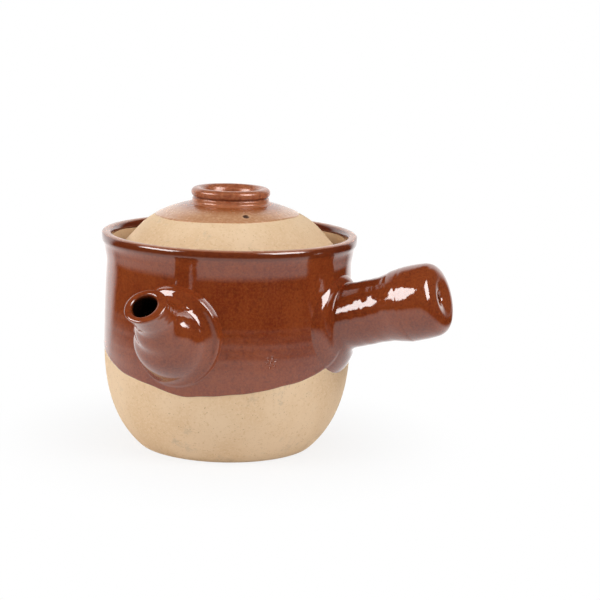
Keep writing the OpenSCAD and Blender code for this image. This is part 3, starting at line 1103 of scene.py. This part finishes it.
# Painted shade: the knob's groove is coloured dark russet.
groove = up.band(0.1515, 0.0009) * 0.85
low_band = (1.0 - up.ramp(0.1490, 0.1512)) * 0.6
colour = satin.grain(1.8, 3, 0.65).ramp(0.34, 0.68).mix(russet, light_russet)
colour = (satin.grain(4.0, 3, 0.6).ramp(0.5, 0.72) * 0.35).mix(colour, dark_russet)
colour = groove.mix(colour, dark_russet)
colour = low_band.mix(colour, light_russet)
satin.surface(
    base_color=colour,
    roughness=0.23 + satin.grain(4, 3) * 0.12,
    ior=1.52,
    normal=satin.bump(ripple(satin), 0.10))
dress(knob_glaze, knob)

# %% [markdown]
# ## Floor, room and lamps
# The pot stands on a white sheet. Glaze shows its surroundings as much as itself, so the
# room matters: a white backdrop behind the pot gives its sides and lip their white edges,
# the near part of the table gives the lower wall its soft grey-pink sheen, and beyond the
# table's front edge the room is dark, which lets the brown stay deep.
#
# The floor is one sheet with three faces. To the camera it turns to plain white away from
# the pot's shadow. In the gloss it is a lit table that ends some way out, and behind the
# pot it goes on into the backdrop. All other light meets plain matt white.

# %% Floor
floor_half = 3
floor_mesh = bpy.data.meshes.new("floor")
floor_mesh.from_pydata([
    (-floor_half, -floor_half, 0), (floor_half, -floor_half, 0),
    (floor_half, floor_half, 0), (-floor_half, floor_half, 0)], [], [(0, 1, 2, 3)])
ground = bpy.data.objects.new("floor", floor_mesh)
bpy.context.collection.objects.link(ground)
ground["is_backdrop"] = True

# %% [markdown]
# The backdrop is only as wide as a paper roll behind the pot, and its sides are soft. Its
# middle is turned a little to the left, as the white edges on the pot show.

# %% Backdrop
paper_white = (1.0, 1.0, 1.0)
backdrop_turn = camera_turn + radians(6)
backdrop_wide = radians(41)
backdrop_soft_end = radians(55)


def backdrop_share(east, north, level):
    """1 towards the backdrop and 0 away from it, for a direction or a place."""
    behind = (east * -sin(backdrop_turn) + north * cos(backdrop_turn)) / level
    return behind.ramp(cos(backdrop_soft_end), cos(backdrop_wide))


# %% White sheet
table_white = 1.3
floor_behind = 1.5

sheet, paper = finish("white_sheet")
east, north, up = paper.parts(paper.place())
out = length(east, north)
seen = paper.node("ShaderNodeLightPath", output="Is Camera Ray")
mirrored = paper.node("ShaderNodeLightPath", output="Is Glossy Ray")
matt = paper.node("ShaderNodeBsdfDiffuse", values=[(0.82, 0.82, 0.82)])
white = paper.node("ShaderNodeEmission", values={"Color": paper_white})
table = (1.0 - out.ramp(0.24, 0.56)) * table_white
table = table + backdrop_share(east, north, out) * (floor_behind - table)
mirror_view = paper.node(
    "ShaderNodeEmission", values={"Color": paper_white, "Strength": table})
fade = out.ramp(0.05, 0.16) * 0.2 + 0.8
floor_view = paper.node("ShaderNodeMixShader", values=[seen * fade, matt, white])
floor_view = paper.node("ShaderNodeMixShader", values=[mirrored, floor_view, mirror_view])
paper.node("ShaderNodeOutputMaterial", values=[floor_view])
dress(sheet, ground)

# %% [markdown]
# Two softboxes light the pot. Their mirror images on the gloss are bright and have clean
# edges, so the world paints them: a direction is measured against the lamp's own axis, and
# its tangents say whether it falls inside the rectangle. The real lamps are then hidden
# from glossy rays, or each would show twice.

# %% Painted lamps
left_lamp = {"compass": -135, "tilt": 27}
right_lamp = {"compass": -7, "tilt": 37}

room = bpy.data.worlds.new("room")
bpy.context.scene.world = room
air = Tree(room)
east, north, up = air.parts(air.node("ShaderNodeTexCoord", output="Generated"))


def lamp_face(compass, tilt, wide, high, soft=0.04):
    """1 in the directions that a rectangular lamp fills, as tangents of its half angles."""
    turn, rise = radians(compass), radians(tilt)
    towards = east * cos(turn) + north * sin(turn)
    ahead = towards * cos(rise) + up * sin(rise)
    sideways = (north * cos(turn) - east * sin(turn)) / ahead
    upwards = (up * cos(rise) - towards * sin(rise)) / ahead
    across = 1.0 - abs(sideways).ramp(wide, wide + soft)
    upright = 1.0 - abs(upwards).ramp(high, high + soft)
    return across * upright * ahead.ramp(0.0, 0.1)


lamps = lamp_face(**left_lamp, wide=0.3, high=0.22) * 15.0
lamps = lamps + lamp_face(**right_lamp, wide=0.27, high=0.30) * 16.0

# %% Room
soft_light = 0.5
dark_room = 0.03
backdrop_white = 1.47
backdrop = backdrop_share(east, north, length(east, north)) * (1.0 - up.ramp(0.52, 0.72))
mirror_room = backdrop * backdrop_white + dark_room + lamps
seen = air.node("ShaderNodeLightPath", output="Is Camera Ray")
mirrored = air.node("ShaderNodeLightPath", output="Is Glossy Ray")
strength = seen + (1.0 - seen) * (mirrored * mirror_room + (1.0 - mirrored) * soft_light)
sky = air.node("ShaderNodeBackground", values={"Color": paper_white, "Strength": strength})
air.node("ShaderNodeOutputWorld", values=[sky])
print("room: %d nodes" % len(air.nodes))


# %% Softboxes
def softbox(name, compass, tilt, wide, high, power, distance=1.6):
    """A rectangular lamp that faces the pot's middle. The room paints its mirror image."""
    lamp = bpy.data.lights.new(name, "AREA")
    lamp.shape = "RECTANGLE"
    lamp.size = wide
    lamp.size_y = high
    lamp.energy = power
    holder = bpy.data.objects.new(name, lamp)
    bpy.context.collection.objects.link(holder)
    holder.visible_glossy = False
    pot_middle = (0.0, 0.0, 0.08)
    holder.matrix_world = (
        Matrix.Translation(pot_middle)
        @ Matrix.Rotation(radians(compass) + pi / 2, 4, "Z")
        @ Matrix.Rotation(pi / 2 - radians(tilt), 4, "X")
        @ Matrix.Translation((0.0, 0.0, distance)))
    print("%s at %s" % (name, [round(c, 2) for c in holder.matrix_world.translation]))


softbox("left_softbox", **left_lamp, wide=0.96, high=0.70, power=13.0)
softbox("right_softbox", **right_lamp, wide=0.86, high=0.96, power=12.5)
bpy.context.scene.view_settings.view_transform = "Standard"

# %% [markdown]
# ## Sizes of the two models
# The boxes of the imported model and of the visual model are both printed, in millimetres.
# The visual model may not outgrow the imported one.

# %% Sizes and finish
visual_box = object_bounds()
boxes = [[list(corner) for corner in box] for box in (cad_box, visual_box)]
for box in boxes:
    print("box from %s to %s mm" % tuple([round(c / MM, 1) for c in corner] for corner in box))
